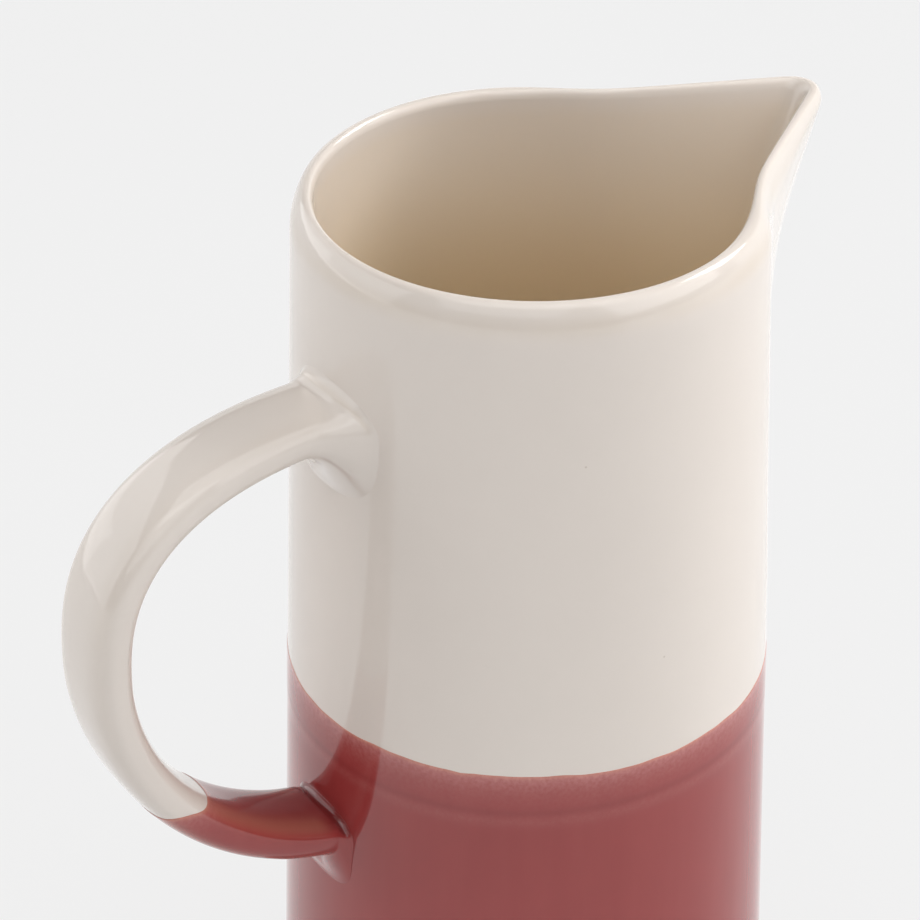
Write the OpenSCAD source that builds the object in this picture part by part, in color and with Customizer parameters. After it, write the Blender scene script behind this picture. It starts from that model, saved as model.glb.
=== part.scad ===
// Tall ceramic jug: a clay body with a pulled spout, a strap handle luted on with two slip joints,
// and the coats of glaze that cover them. Millimetres, +Z up. The origin is on the body's axis, in the
// plane that the foot stands on. The spout points along +X and the handle is behind it.

/* [Body] */
// Height from the foot to the rim
body_h = 230; // [190:1:280]
// Outer diameter of the wall at the rim
rim_d = 100; // [84:0.5:122]
// Outer diameter that the tapered wall would have in the plane of the foot
base_d = 111.6; // [92:0.2:136]
// Finished thickness of the wall, glaze included
wall_t = 5; // [4:0.1:7]
// Finished thickness of the floor above the hollow of the foot, glaze included
floor_t = 7; // [5:0.5:10]
// Radius of the corner between the wall and the floor inside
floor_corner = 10; // [6:0.5:16]

/* [Foot] */
// Height of the bare foot below the glaze
foot_h = 4; // [3:0.5:6]
// How far the foot is drawn in from the wall
foot_inset = 3.5; // [2:0.25:5]
// Width of the ring that the jug stands on
foot_ring_w = 7; // [5:0.5:10]
// Depth of the hollow inside the ring
foot_hollow = 2; // [1:0.25:3]

/* [Spout] */
// Distance from the axis to the tip of the spout
spout_reach = 81; // [67:0.5:98]
// Radius of the groove inside the tip of the spout, seen from above
spout_groove_r = 1.5; // [0.5:0.1:3]
// How far the straight flanks of the spout, run on, pass inside the circle of the rim
spout_waist = 5.5; // [4:0.25:8]
// How far the rim is drawn in on each side of the spout, where the clay was held
spout_pinch = 1.1; // [0:0.1:1.5]
// Height of the spout, from the rim to where its keel leaves the wall
spout_depth = 90; // [70:1:110]
// Curve of the keel: 1 is straight, more is hollow
keel_power = 1.25; // [1:0.05:1.6]

/* [Handle] */
// Angle from the spout round to the handle
handle_turn = 173.5; // [170:0.5:190]
// Drop from the rim to the middle of the upper arm
handle_drop = 36.5; // [30:0.5:44]
// Height of the middle of the lower arm above the foot plane
handle_low = 89.5; // [74:0.5:108]
// Finger gap between the wall and the inside of the strap, at its deepest
finger_gap = 49; // [40:0.5:60]
// Finished width of the strap
strap_w = 20.4; // [16:0.2:25]
// Finished thickness of the strap
strap_t = 10; // [8:0.2:12]
// Height of the deepest point of the finger gap, as a share of the way from lower to upper arm
belly_share = 0.58; // [0.5:0.01:0.65]
// Squareness of the bend of the upper arm, where 2 is a plain ellipse
upper_bend = 2.55; // [2:0.05:3]
// Squareness of the bend of the lower arm
lower_bend = 1.86; // [1.7:0.02:2.4]

/* [Slip joints] */
// How far the slip of both joints runs out along the strap
slip_run = 12; // [8:0.5:15]
// Spread of the upper joint on the wall, above the strap
upper_rise = 4.5; // [3:0.25:8]
// Spread of the upper joint on the wall, below the strap
upper_fall = 12; // [7:0.25:14]
// Spread of the upper joint on the wall, to each side
upper_side = 4; // [3:0.25:7]
// Spread of the lower joint on the wall, above the strap
lower_rise = 5.7; // [3:0.1:8]
// Spread of the lower joint on the wall, below the strap
lower_fall = 7.5; // [6:0.25:12]
// Spread of the lower joint on the wall, to each side
lower_side = 1.5; // [1:0.25:6]

/* [Glaze] */
// Thickness of each coat of glaze
glaze_t = 0.5; // [0.4:0.05:0.7]
// Height of the edge of the red dip above the foot plane
dip_h = 119.2; // [100:0.1:130]
// Height of the edge of the red dip on the handle
handle_dip_h = 112.8; // [104:0.1:124]
// Height of the band where the red coat laps over the cream one
lap_h = 9.5; // [6:0.5:11]
// How far the red coat stands proud of the cream one in the lap
lap_t = 0.25; // [0.2:0.05:0.4]
// Height over which the red coat swells out to the lap
lap_ramp = 2; // [1:0.5:4]

/* [Hidden] */

// Colours of the fired clay and of the glazes
clay_color = "#d8c6a8";
slip_color = "#cdb894";
cream_color = "#e4dccf";
liner_color = "#d9cdb9";
red_color = "#9c4a4f";

// Facets: steps round the body, crowded towards the spout, rows up the wall, and steps of the lip
turn_steps = 90;
turn_crowding = 0.45;
wall_rows = 6;
lip_step = 22.5;
// Facets of the strap: sides of its section, rings along each arm, and rows of a slip joint
strap_sides = 24;
arm_rings = 11;
slip_rows = 3;
// Sharpness of the blend between the rim's circle and the spout, and squareness of the strap
rim_blend = 40;
strap_power = 2.4;
// Hollowness of the slip between the strap and the wall, where 1 is straight
slip_hollow = 2;
// Middle and width of the pinch beside the spout, in degrees outside the crossing
pinch_out = 10;
pinch_width = 9;
// Rate at which the pinch fades down the wall
pinch_power = 0.8;
// The faceted upper wall starts this far inside the faces of the round lower wall that carries it
seam_in = 0.03;
seam_in_bore = 0.1;
// Small steps in degrees, to measure the direction of the rim's outline and of the strap
turn_probe = 0.05;
path_probe = 0.2;
// Plain wall between the seam and the foot of the spout's keel
seam_below = 5;

rim_r = rim_d / 2;
lip_r = wall_t / 2;
lip_z = body_h - lip_r;
seam_z = body_h - spout_depth - seam_below;
floor_z = foot_hollow + floor_t;
lap_z = dip_h - lap_h;

// Finished outer radius of the plain tapered wall at a height
function wall_r(z) = (base_d + (rim_d - base_d) * z / body_h) / 2;

// The spout in plan: two flanks that touch a round tip, blended into the circle of the rim
spout_tip_r = spout_groove_r + wall_t;
tip_centre = spout_reach - spout_tip_r;
flank_angle = asin((rim_r - spout_waist - spout_tip_r) / tip_centre);
flank_r = rim_r - spout_waist;
tip_angle = atan2(spout_tip_r * cos(flank_angle), tip_centre + spout_tip_r * sin(flank_angle));
function tip_plan(d) = tip_centre * cos(d) + sqrt(pow(spout_tip_r, 2) - pow(tip_centre * sin(d), 2));
function flank_plan(d) = flank_r / sin(min(flank_angle + d, 90));
function spout_plan(d) = d < tip_angle ? tip_plan(d) : flank_plan(d);
function folded(d) = abs(d > 180 ? d - 360 : d);
function blended_plan(d) = pow(pow(spout_plan(d), rim_blend) + pow(rim_r, rim_blend), 1 / rim_blend);
// The pinch lies just outside the crossing of the flank and the circle
cross_angle = asin(flank_r / rim_r) - flank_angle;
function pinch_plan(d) = spout_pinch * exp(-pow((d - cross_angle - pinch_out) / pinch_width, 2));

// The spout and the pinch fade into the plain wall, each at its own rate
function fade(z, power) = pow(max(0, 1 - (body_h - z) / spout_depth), power);
function outer_plan(d, z) =
    let (a = folded(d))
    wall_r(z) + fade(z, keel_power) * (blended_plan(a) - rim_r) - fade(z, pinch_power) * pinch_plan(a);
function outer_point(d, z) = outer_plan(d, z) * [cos(d), sin(d)];

// A point at a depth inside the finished outer face, square to the outline
function wall_point(d, depth, z) =
    let (along = outer_point(d + turn_probe, z) - outer_point(d - turn_probe, z),
         inward = [-along.y, along.x] / norm(along),
         p = outer_point(d, z) + depth * inward)
    [p.x, p.y, z];

// Directions round the body, closest together at the spout
function turn(i) =
    let (t = 360 * i / turn_steps)
    t - turn_crowding * sin(t) * 180 / PI;

// Faces of a grid of points that closes on itself both ways, as a ring of closed outlines does
function ring_faces(rings, sides) = [
    for (i = [0 : rings - 1], j = [0 : sides - 1])
        let (a = i * sides + j,
             b = (i + 1) % rings * sides + j,
             c = (i + 1) % rings * sides + (j + 1) % sides,
             d = i * sides + (j + 1) % sides)
        each [[a, d, c], [a, c, b]]
];

// Heights of the rows of the faceted wall, from the seam up to the lip
row_z = [for (j = [0 : wall_rows]) seam_z + (lip_z - seam_z) * j / wall_rows];
// One side of the wall, and an arc of the lip, as [depth, height] pairs
function side_up(depth, seam_shift) =
    [for (j = [0 : wall_rows]) [j == 0 ? depth + seam_shift : depth, row_z[j]]];
function side_down(depth, seam_shift) =
    let (up = side_up(depth, seam_shift)) [for (j = [wall_rows : -1 : 0]) up[j]];
function lip_arc(r, from, to) =
    [for (a = [from : (to > from ? lip_step : -lip_step) : to]) [lip_r - r * cos(a), lip_z + r * sin(a)]];

// A ring of the upper wall with the spout, swept round from one outline
module spouted_ring(outline) {
    points = [for (i = [0 : turn_steps - 1], p = outline) wall_point(turn(i), p[0], p[1])];
    polyhedron(points, ring_faces(turn_steps, len(outline)), convexity = 6);
}

// A round lower part from its half outline
module round_part(outline) {
    rotate_extrude($fn = 180) polygon(outline);
}

// The arc of the inside corner, a given distance into the clay from the finished face
corner_steps = 8;
function corner_arc(depth) = [
    for (i = [0 : corner_steps])
        let (a = 90 * i / corner_steps,
             z = floor_z + floor_corner,
             r = floor_corner + depth)
        [wall_r(z) - wall_t - floor_corner + r * cos(a), z - r * sin(a)]
];

module clay_body() {
    foot_out = wall_r(0) - foot_inset;
    foot_in = foot_out - foot_ring_w;
    color(clay_color)
        union() {
            round_part(concat(
                [[wall_r(seam_z) - wall_t + glaze_t, seam_z]],
                corner_arc(glaze_t),
                [[0, floor_z - glaze_t], [0, foot_hollow], [foot_in - foot_hollow, foot_hollow],
                 [foot_in, 0], [foot_out, 0],
                 [wall_r(foot_h) - glaze_t, foot_h], [wall_r(seam_z) - glaze_t, seam_z]]));
            spouted_ring(concat(
                side_up(glaze_t, seam_in),
                lip_arc(lip_r - glaze_t, lip_step, 180 - lip_step),
                side_down(wall_t - glaze_t, -seam_in_bore)));
        }
}

// The handle's own plane: s runs out from the axis, w to its side and z up
handle_out = [cos(handle_turn), sin(handle_turn)];
handle_side = [-sin(handle_turn), cos(handle_turn)];
function handle_point(s, w, z) = [each s * handle_out + w * handle_side, z];
// Distance out to the plain wall, at a depth inside its finished face
function wall_s(w, z, depth) = sqrt(pow(wall_r(z) - depth, 2) - w * w);

// Centreline of the strap: two arms of a squared ellipse that start inside the wall
arm_top_z = body_h - handle_drop;
belly_z = handle_low + (arm_top_z - handle_low) * belly_share;
root_s = wall_r(belly_z) - wall_t;
belly_s = wall_r(belly_z) + finger_gap + strap_t / 2;
function arm(a, bend, end_z) =
    [root_s + (belly_s - root_s) * pow(sin(a), 2 / bend),
     belly_z + (end_z - belly_z) * pow(max(cos(a), 0), 2 / bend)];
// u runs from 0 at the upper root through 90 at the belly to 180 at the lower root
function centreline(u) = u <= 90 ? arm(u, upper_bend, arm_top_z) : arm(180 - u, lower_bend, handle_low);
function outward(u) =
    let (along = centreline(u + path_probe) - centreline(u - path_probe))
    [-along[1], along[0]] / norm(along);
// The place on an arm that is a given distance out from the wall
function clear_angle(bend, end_z) =
    asin(pow((wall_r(end_z) + slip_run - root_s) / (belly_s - root_s), bend / 2));
first_u = clear_angle(upper_bend, arm_top_z);
last_u = 180 - clear_angle(lower_bend, handle_low);
ring_u = concat([for (i = [0 : arm_rings - 1]) first_u + (90 - first_u) * i / arm_rings],
                [for (i = [0 : arm_rings]) 90 + (last_u - 90) * i / arm_rings]);

// A corner of the strap's section as [w, n], where n is towards the outside of the bend
function squared(x) = sign(x) * pow(abs(x), 2 / strap_power);
function section(k, half_w, half_t) =
    let (a = 360 * k / strap_sides) [half_w * squared(cos(a)), half_t * squared(sin(a))];
function strap_ring(u, half_w, half_t) = [
    for (k = [0 : strap_sides - 1])
        let (c = centreline(u), n = outward(u), q = section(k, half_w, half_t))
        handle_point(c[0] + n[0] * q[1], q[0], c[1] + n[1] * q[1])
];

clay_half_w = strap_w / 2 - glaze_t;
clay_half_t = strap_t / 2 - glaze_t;
// The two ends: height of the arm on the wall, and which way is towards the outside of the bend
upper_end = [arm_top_z, 1];
lower_end = [handle_low, -1];
// The strap's section where it butts on the clay wall, shrunk towards its middle by a share
function butt_ring(end, share) = [
    for (k = [0 : strap_sides - 1])
        let (q = share * section(k, clay_half_w, clay_half_t), z = end[0] + end[1] * q[1])
        handle_point(wall_s(q[0], z, glaze_t), q[0], z)
];
butt_shares = [1, 0.67, 0.33];
function butt_middle(end) = handle_point(wall_r(end[0]) - glaze_t, 0, end[0]);

// Faces of a tube of rings with a point that closes each end, listed first and last
function tube_faces(rings, sides) =
    let (last = rings * sides + 1)
    concat(
        [for (k = [0 : sides - 1]) [0, 1 + (k + 1) % sides, 1 + k]],
        [for (i = [0 : rings - 2], k = [0 : sides - 1])
            let (a = 1 + i * sides + k, b = 1 + i * sides + (k + 1) % sides)
            each [[a, b, b + sides], [a, b + sides, a + sides]]],
        [for (k = [0 : sides - 1])
            let (a = 1 + (rings - 1) * sides)
            [last, a + k, a + (k + 1) % sides]]);

module handle() {
    rings = concat(
        [for (i = [2 : -1 : 0]) butt_ring(upper_end, butt_shares[i])],
        [for (u = ring_u) strap_ring(u, clay_half_w, clay_half_t)],
        [for (i = [0 : 2]) butt_ring(lower_end, butt_shares[i])]);
    points = concat([butt_middle(upper_end)], [for (r = rings) each r], [butt_middle(lower_end)]);
    color(clay_color) polyhedron(points, tube_faces(len(rings), strap_sides), convexity = 6);
}

// The outline of a slip joint on the wall: the strap's section spread by its own margins
function spread(k, end, side, rise, fall, extra) =
    let (q = section(k, clay_half_w + side + extra, 1),
         up = q[1] * end[1],
         reach_z = clay_half_t + extra + (up > 0 ? rise : fall))
    [q[0], end[0] + up * reach_z];
// A row of the slip from the wall (0) to the strap (1), hollow between and most so on its upper side
function slip_row(t, end, side, rise, fall, extra) =
    let (strap = strap_ring(end[1] > 0 ? first_u : last_u, clay_half_w + extra, clay_half_t + extra))
    [for (k = [0 : strap_sides - 1])
        let (edge = spread(k, end, side, rise, fall, extra),
             foot = handle_point(wall_s(edge[0], edge[1], 0), edge[0], edge[1]),
             top = strap[k],
             upper = max(0, section(k, 1, 1)[1] * end[1]),
             near = 1 - pow(1 - t, slip_hollow + upper * slip_hollow))
        handle_point(
            (1 - t) * foot * [each handle_out, 0] + t * top * [each handle_out, 0],
            (1 - near) * foot * [each handle_side, 0] + near * top * [each handle_side, 0],
            (1 - near) * foot.z + near * top.z)];
function slip_rows_out(end, side, rise, fall, extra) =
    [for (i = [0 : slip_rows - 1]) slip_row(i / slip_rows, end, side, rise, fall, extra)];

// The slip's face on the clay wall: the outline, a row half way in, then the strap's own edge
function bond_row(share, end, side, rise, fall) = [
    for (k = [0 : strap_sides - 1])
        let (edge = spread(k, end, side, rise, fall, 0),
             q = section(k, clay_half_w, clay_half_t),
             w = share * q[0] + (1 - share) * edge[0],
             z = share * (end[0] + end[1] * q[1]) + (1 - share) * edge[1])
        handle_point(wall_s(w, z, glaze_t), w, z)
];

module slip_joint(end, side, rise, fall) {
    u = end[1] > 0 ? first_u : last_u;
    rows = concat([bond_row(0, end, side, rise, fall)],
                  slip_rows_out(end, side, rise, fall, 0),
                  [strap_ring(u, clay_half_w, clay_half_t)],
                  [for (share = [1, 0.5]) bond_row(share, end, side, rise, fall)]);
    faces = ring_faces(len(rows), strap_sides);
    // At the lower end the rows run the other way round the strap
    polyhedron([for (r = rows) each r], end[1] > 0 ? [for (f = faces) [f[0], f[2], f[1]]] : faces,
               convexity = 4);
}

module upper_slip_joint() {
    color(slip_color) slip_joint(upper_end, upper_side, upper_rise, upper_fall);
}

module lower_slip_joint() {
    color(slip_color) slip_joint(lower_end, lower_side, lower_rise, lower_fall);
}

// A straight cutter with the outline of a slip joint, so that the slip bonds to bare clay
module bond_window(end, side, rise, fall) {
    outline = [for (k = [0 : strap_sides - 1]) spread(k, end, side, rise, fall, 0)];
    rotate([0, 0, handle_turn])
        translate([rim_r / 2, 0, 0])
            rotate([90, 0, 90])
                linear_extrude(rim_r) polygon(outline);
}

module liner_glaze() {
    color(liner_color)
        union() {
            round_part(concat(
                [[wall_r(seam_z) - wall_t, seam_z]],
                corner_arc(0),
                [[0, floor_z], [0, floor_z - glaze_t]],
                [for (i = [corner_steps : -1 : 0]) corner_arc(glaze_t)[i]],
                [[wall_r(seam_z) - wall_t + glaze_t, seam_z]]));
            spouted_ring(concat(
                side_up(wall_t - glaze_t, seam_in),
                lip_arc(lip_r - glaze_t, 180, 90),
                lip_arc(lip_r, 90, 180),
                side_down(wall_t, -seam_in_bore)));
        }
}

module cream_glaze() {
    color(cream_color)
        difference() {
            union() {
                round_part([[wall_r(lap_z) - glaze_t, lap_z], [wall_r(lap_z), lap_z],
                            [wall_r(seam_z), seam_z], [wall_r(seam_z) - glaze_t, seam_z]]);
                spouted_ring(concat(
                    side_up(0, seam_in),
                    lip_arc(lip_r, 0, 90),
                    lip_arc(lip_r - glaze_t, 90, 0),
                    side_down(glaze_t, -seam_in_bore)));
            }
            bond_window(upper_end, upper_side, upper_rise, upper_fall);
        }
}

module red_glaze() {
    color(red_color)
        difference() {
            round_part([[wall_r(foot_h) - glaze_t, foot_h], [wall_r(foot_h), foot_h],
                        [wall_r(lap_z - lap_ramp), lap_z - lap_ramp], [wall_r(lap_z) + lap_t, lap_z],
                        [wall_r(dip_h) + lap_t, dip_h], [wall_r(dip_h), dip_h],
                        [wall_r(lap_z), lap_z], [wall_r(lap_z) - glaze_t, lap_z]]);
            bond_window(lower_end, lower_side, lower_rise, lower_fall);
        }
}

// The whole coat of the handle, from where it meets the wall's glaze at one end to the other
module handle_coat() {
    function skin(extra) = concat(
        slip_rows_out(upper_end, upper_side, upper_rise, upper_fall, extra),
        [for (u = ring_u) strap_ring(u, clay_half_w + extra, clay_half_t + extra)],
        let (rows = slip_rows_out(lower_end, lower_side, lower_rise, lower_fall, extra))
        [for (i = [slip_rows - 1 : -1 : 0]) rows[i]]);
    outer = skin(glaze_t);
    inner = skin(0);
    rows = concat(outer, [for (i = [len(inner) - 1 : -1 : 0]) inner[i]]);
    faces = ring_faces(len(rows), strap_sides);
    polyhedron([for (r = rows) each r], [for (f = faces) [f[0], f[2], f[1]]], convexity = 8);
}

// The space above or below the edge of the dip, round the handle
module dip_half(below) {
    size = 2 * belly_s;
    low_z = below ? handle_dip_h - body_h : handle_dip_h;
    translate([-belly_s - size / 2, -size / 2, low_z]) cube([size, size, body_h]);
}

module handle_cream_glaze() {
    color(cream_color)
        intersection() {
            handle_coat();
            dip_half(false);
        }
}

module handle_red_glaze() {
    color(red_color)
        intersection() {
            handle_coat();
            dip_half(true);
        }
}

clay_body();
handle();
upper_slip_joint();
lower_slip_joint();
liner_glaze();
cream_glaze();
red_glaze();
handle_cream_glaze();
handle_red_glaze();
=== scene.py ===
# %% [markdown]
# # A dipped stoneware jug
# This lesson models a tall ceramic jug: a tapered cylinder with a pulled spout, a strap handle that is
# stuck on with clay slip, a cream glaze all over and a red glaze that the lower half was dipped in.
# Everything is built around a packed construction model, which is loaded first and never changed. It
# gives the sizes, and each mesh below stands for one or two of its solids.

# %% Load the fixed frame
import math

import bmesh
import bpy
import numpy as np
from mathutils import Matrix, Vector


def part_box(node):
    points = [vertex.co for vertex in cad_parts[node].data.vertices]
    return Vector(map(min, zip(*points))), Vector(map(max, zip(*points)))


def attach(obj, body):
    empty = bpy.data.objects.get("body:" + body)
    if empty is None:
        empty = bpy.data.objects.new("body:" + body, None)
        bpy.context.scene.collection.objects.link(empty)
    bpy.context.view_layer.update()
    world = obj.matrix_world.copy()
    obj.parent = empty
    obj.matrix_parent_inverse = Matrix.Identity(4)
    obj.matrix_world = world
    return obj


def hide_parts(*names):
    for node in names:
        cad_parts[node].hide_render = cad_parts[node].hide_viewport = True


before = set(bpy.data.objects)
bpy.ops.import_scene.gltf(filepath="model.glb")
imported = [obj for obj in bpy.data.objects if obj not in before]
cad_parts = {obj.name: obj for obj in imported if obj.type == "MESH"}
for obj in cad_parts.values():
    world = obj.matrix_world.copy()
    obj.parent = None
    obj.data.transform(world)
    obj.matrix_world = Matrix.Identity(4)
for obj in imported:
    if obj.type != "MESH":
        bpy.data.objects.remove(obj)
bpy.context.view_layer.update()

print("the frame holds", len(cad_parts), "solids:", ", ".join(sorted(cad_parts)))

# %% [markdown]
# ## Sizes
# A potter thinks of the jug in millimetres, so the lesson does too, and turns them into Blender's metres
# only where a mesh is made. The overall sizes are read from the frame. What a box can't tell, such as
# the thickness of the wall, is a named value.

# %% Read the sizes of the frame
MM = 0.001


def node_box(name):
    """Lowest and highest corner of one solid of the frame, in millimetres."""
    low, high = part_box(name)
    return np.array(low) / MM, np.array(high) / MM


clay_high = node_box("clay_body")[1]
cream_low, cream_high = node_box("cream_glaze")
liner_low = node_box("liner_glaze")[0]
red_low, red_high = node_box("red_glaze")
handle_red_high = node_box("handle_red_glaze")[1]
height = cream_high[2]
glaze = cream_high[2] - clay_high[2]
dip_z = red_high[2]
handle_dip_z = handle_red_high[2]
lap_z = cream_low[2]
coat_foot_z = red_low[2]
coat_foot_radius = red_high[1]
floor_z = liner_low[2] + glaze
print("height %.1f, glaze %.2f, dip %.1f, on the handle %.1f, lap %.1f, foot %.1f, floor %.1f mm"
      % (height, glaze, dip_z, handle_dip_z, lap_z, coat_foot_z, floor_z))

# %% [markdown]
# The wall was thrown as a straight taper, so one radius at the foot and one at the rim describe it. The
# first comes from the frame. The rim's radius can't be read from a box, because the spout and the handle
# stand out beyond it, so it is named.

# %% Taper of the wall
rim_radius = 50.0


def wall_radius(z):
    """Outer radius of the plain tapered wall at a height."""
    share = (z - coat_foot_z) / (height - coat_foot_z)
    return coat_foot_radius + (rim_radius - coat_foot_radius) * share


print("the wall tapers from %.1f to %.1f mm" % (wall_radius(0), wall_radius(height)))

# %% [markdown]
# ## The camera
# The camera comes first, because everything is seen through it. It stands high on the handle's side
# and looks down with a long lens, so the jug's base falls below the frame. The distances were worked out
# from the rim's ellipse and the taper of the sides.

# %% Place the camera
image_size = 920
focal_pixels = 3817.3
sensor_mm = 36.0
camera_distance = 786.5
camera_elevation = math.radians(28.20)
camera_turn = math.radians(-131.0)
rim_level = 229.5
aim_level = 164.0
aim_yaw = math.radians(1.224)
camera_roll = math.radians(-0.169)

ground_distance = camera_distance * math.cos(camera_elevation)
camera_place = Vector((ground_distance * math.cos(camera_turn),
                       ground_distance * math.sin(camera_turn),
                       rim_level + camera_distance * math.sin(camera_elevation)))
forward = (Vector((0, 0, aim_level)) - camera_place).normalized()
forward.rotate(Matrix.Rotation(aim_yaw, 3, "Z"))
level_right = forward.cross(Vector((0, 0, 1))).normalized()
level_down = forward.cross(level_right)
right = level_right * math.cos(camera_roll) + level_down * math.sin(camera_roll)
up = level_right * math.sin(camera_roll) - level_down * math.cos(camera_roll)

camera_data = bpy.data.cameras.new("view")
camera_data.sensor_width = sensor_mm
camera_data.lens = sensor_mm * focal_pixels / image_size
camera = bpy.data.objects.new("view", camera_data)
bpy.context.scene.collection.objects.link(camera)
axes = Matrix((right, up, -forward)).transposed().to_4x4()
camera.matrix_world = Matrix.Translation(camera_place * MM) @ axes
bpy.context.scene.camera = camera
print("camera at", [round(c) for c in camera_place], "mm with a %.0f mm lens" % camera_data.lens)

# %% [markdown]
# ## Meshes from rings of points
# Every piece of this jug can be drawn as rings of points, one above the other, as a potter's coils are.
# Modifiers could turn a profile too, but the spout and the joints aren't round, so the points are worked
# out with formulas and joined into a solid. A run of rings is called a skin here. Two skins that meet
# make a shell, and an end that meets nothing is closed on a point in its middle.

# %% Join rings with faces


def ring_strip(first, second, count):
    """Faces between two rings that start at the given point numbers."""
    return [(first + k, first + (k + 1) % count, second + (k + 1) % count, second + k)
            for k in range(count)]


def ring_fan(first, count, middle):
    """Faces that close a ring on one middle point."""
    return [(first + k, first + (k + 1) % count, middle) for k in range(count)]


def skin_faces(skins, joined):
    """Faces of skins, and the first points of the rings that close on a point in their middle. Where
    joined is true, a skin's last ring meets the next one's first."""
    count = skins[0].shape[1]
    faces = []
    ends = []
    first = 0
    for skin in skins:
        last = first + (len(skin) - 1) * count
        for start in range(first, last, count):
            faces += ring_strip(start, start + count, count)
        ends.append((first, last))
        first = last + count
    closed = []
    for k, meets_next in enumerate(joined):
        end = ends[k][1]
        start = ends[(k + 1) % len(ends)][0]
        if meets_next:
            faces += ring_strip(end, start, count)
            continue
        for edge in (end, start):
            faces += ring_fan(edge, count, first + len(closed))
            closed.append(edge)
    return faces, closed


print("two rings of eight points are joined by", len(ring_strip(0, 8, 8)), "faces")

# %% [markdown]
# Numbers that a finish needs later, such as how thin the glaze is at a point, travel with the points as
# attributes. A point in the middle of a closed ring takes the mean of its ring. Faces are shaded smooth,
# except across edges that turn too sharply for that.

# %% Make a closed solid from rings
SHARP_ANGLE = math.radians(50)


def with_middles(values, closed, count):
    """Values of the points, followed by the mean of each ring that closes on a middle point."""
    means = [values[first:first + count].mean(0) for first in closed]
    return np.concatenate([values, means]) if means else values


def ring_solid(name, skins, joined, attributes=None):
    """A closed mesh from skins, which are arrays of rings, with attributes for its points."""
    count = skins[0].shape[1]
    faces, closed = skin_faces(skins, joined)
    points = with_middles(np.concatenate([skin.reshape(-1, 3) for skin in skins]), closed, count)
    mesh = bpy.data.meshes.new(name)
    mesh.from_pydata(points * MM, [], faces)
    for key, parts in (attributes or {}).items():
        values = with_middles(np.concatenate([part.reshape(-1) for part in parts]), closed, count)
        layer = mesh.attributes.new(key, "FLOAT", "POINT")
        layer.data.foreach_set("value", values.astype(np.float32))
    shell = bmesh.new()
    shell.from_mesh(mesh)
    bmesh.ops.recalc_face_normals(shell, faces=shell.faces)
    shell.to_mesh(mesh)
    shell.free()
    mesh.polygons.foreach_set("use_smooth", [True] * len(mesh.polygons))
    mesh.set_sharp_from_angle(angle=SHARP_ANGLE)
    piece = bpy.data.objects.new(name, mesh)
    bpy.context.scene.collection.objects.link(piece)
    print("%s: %d points, %d faces" % (name, len(mesh.vertices), len(mesh.polygons)))
    return piece


print("edges that turn by more than %.0f degrees stay sharp" % math.degrees(SHARP_ANGLE))

# %% [markdown]
# Clay and glaze have no hard steps, so three soft curves shape nearly everything below: a smooth step
# from 0 to 1, a bell for a groove or a ridge, and a sum of waves for an edge that wavers.

# %% Soft curves


def smooth_step(x):
    """0 below 0, 1 above 1 and an even curve between."""
    x = np.clip(x, 0, 1)
    return x * x * (3 - 2 * x)


def bell(distance, width):
    """1 at no distance, falling off softly on both sides."""
    return np.exp(-(distance / width) ** 2)


def waves(turn, parts):
    """Sum of waves round a ring, each with its number, its size and its shift."""
    return sum(size * np.sin(number * turn + shift) for number, size, shift in parts)


print("a quarter of the way, a smooth step is at %.2f" % smooth_step(0.25))

# %% [markdown]
# ## The wall and its spout
# The spout was pulled out of the soft rim between two fingers: seen from above it is a round tip with
# two straight flanks, and the rim is drawn in a little where the fingers held it. Below the rim all of
# this fades into the round wall. The inside has its own outline, because pulling thins the flanks, and
# the groove that the stream runs in is softer than a copy of the outside would be.

# %% Sizes of the spout
wall = 5.0
spout_reach = 81.4
spout_depth = 90.0
keel_power = 1.25
tip_radius = 6.5
groove_radius = 4.0
flank_wall = 3.6
waist = 5.5
# Depth of the pinch, how far round it is from the corner of the spout, and how wide it is
pinch_outside = (1.1, math.radians(10), math.radians(9))
pinch_inside = (0.75, math.radians(23), math.radians(20))
pinch_fade = 0.8

flank_distance = rim_radius - waist
tip_centre = spout_reach - tip_radius
flank_angle = math.asin((flank_distance - tip_radius) / tip_centre)
groove_centre = (flank_distance - flank_wall - groove_radius) / math.sin(flank_angle)
cross_turn = math.asin(flank_distance / rim_radius) - flank_angle
print("flanks open at %.1f degrees, the groove ends %.1f mm from the axis"
      % (math.degrees(flank_angle), groove_centre + groove_radius))

# %% [markdown]
# Each outline is written as a radius for every angle round the axis, which keeps inside and outside in
# step. A fillet between flank and circle would need its own case. Adding high powers of the two radii
# instead rounds the corner in one line, and a lower power makes it softer.

# %% Outline of the wall in plan
blend_outside = 40
blend_inside = 24


def folded(turn):
    """Angle away from the spout, the same on both sides."""
    return np.abs((turn + np.pi) % (2 * np.pi) - np.pi)


def rim_plan(turn, circle, flank, tip, centre, blend):
    """Radius of an outline with a round tip and two flanks, blended into a circle."""
    tip_turn = math.atan2(tip * math.cos(flank_angle), centre + tip * math.sin(flank_angle))
    half_chord = np.sqrt(np.maximum(tip ** 2 - (centre * np.sin(turn)) ** 2, 0))
    round_tip = centre * np.cos(turn) + half_chord
    straight = flank / np.sin(np.minimum(flank_angle + turn, np.pi / 2))
    spout = np.where(turn < tip_turn, round_tip, straight)
    return (spout ** blend + circle ** blend) ** (1 / blend)


def fade(z, power):
    """1 at the rim, falling to 0 where the spout's keel leaves the wall."""
    return np.clip(1 - (height - z) / spout_depth, 0, 1) ** power


def pinch(turn, shape):
    """How far the rim is drawn in beside the spout."""
    depth, beyond, width = shape
    return depth * bell(turn - cross_turn - beyond, width)


def outer_radius(turn, z):
    """Finished outer face of the wall."""
    away = folded(turn)
    plan = rim_plan(away, rim_radius, flank_distance, tip_radius, tip_centre, blend_outside)
    pulled = fade(z, keel_power) * (plan - rim_radius)
    return wall_radius(z) + pulled - fade(z, pinch_fade) * pinch(away, pinch_outside)


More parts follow.
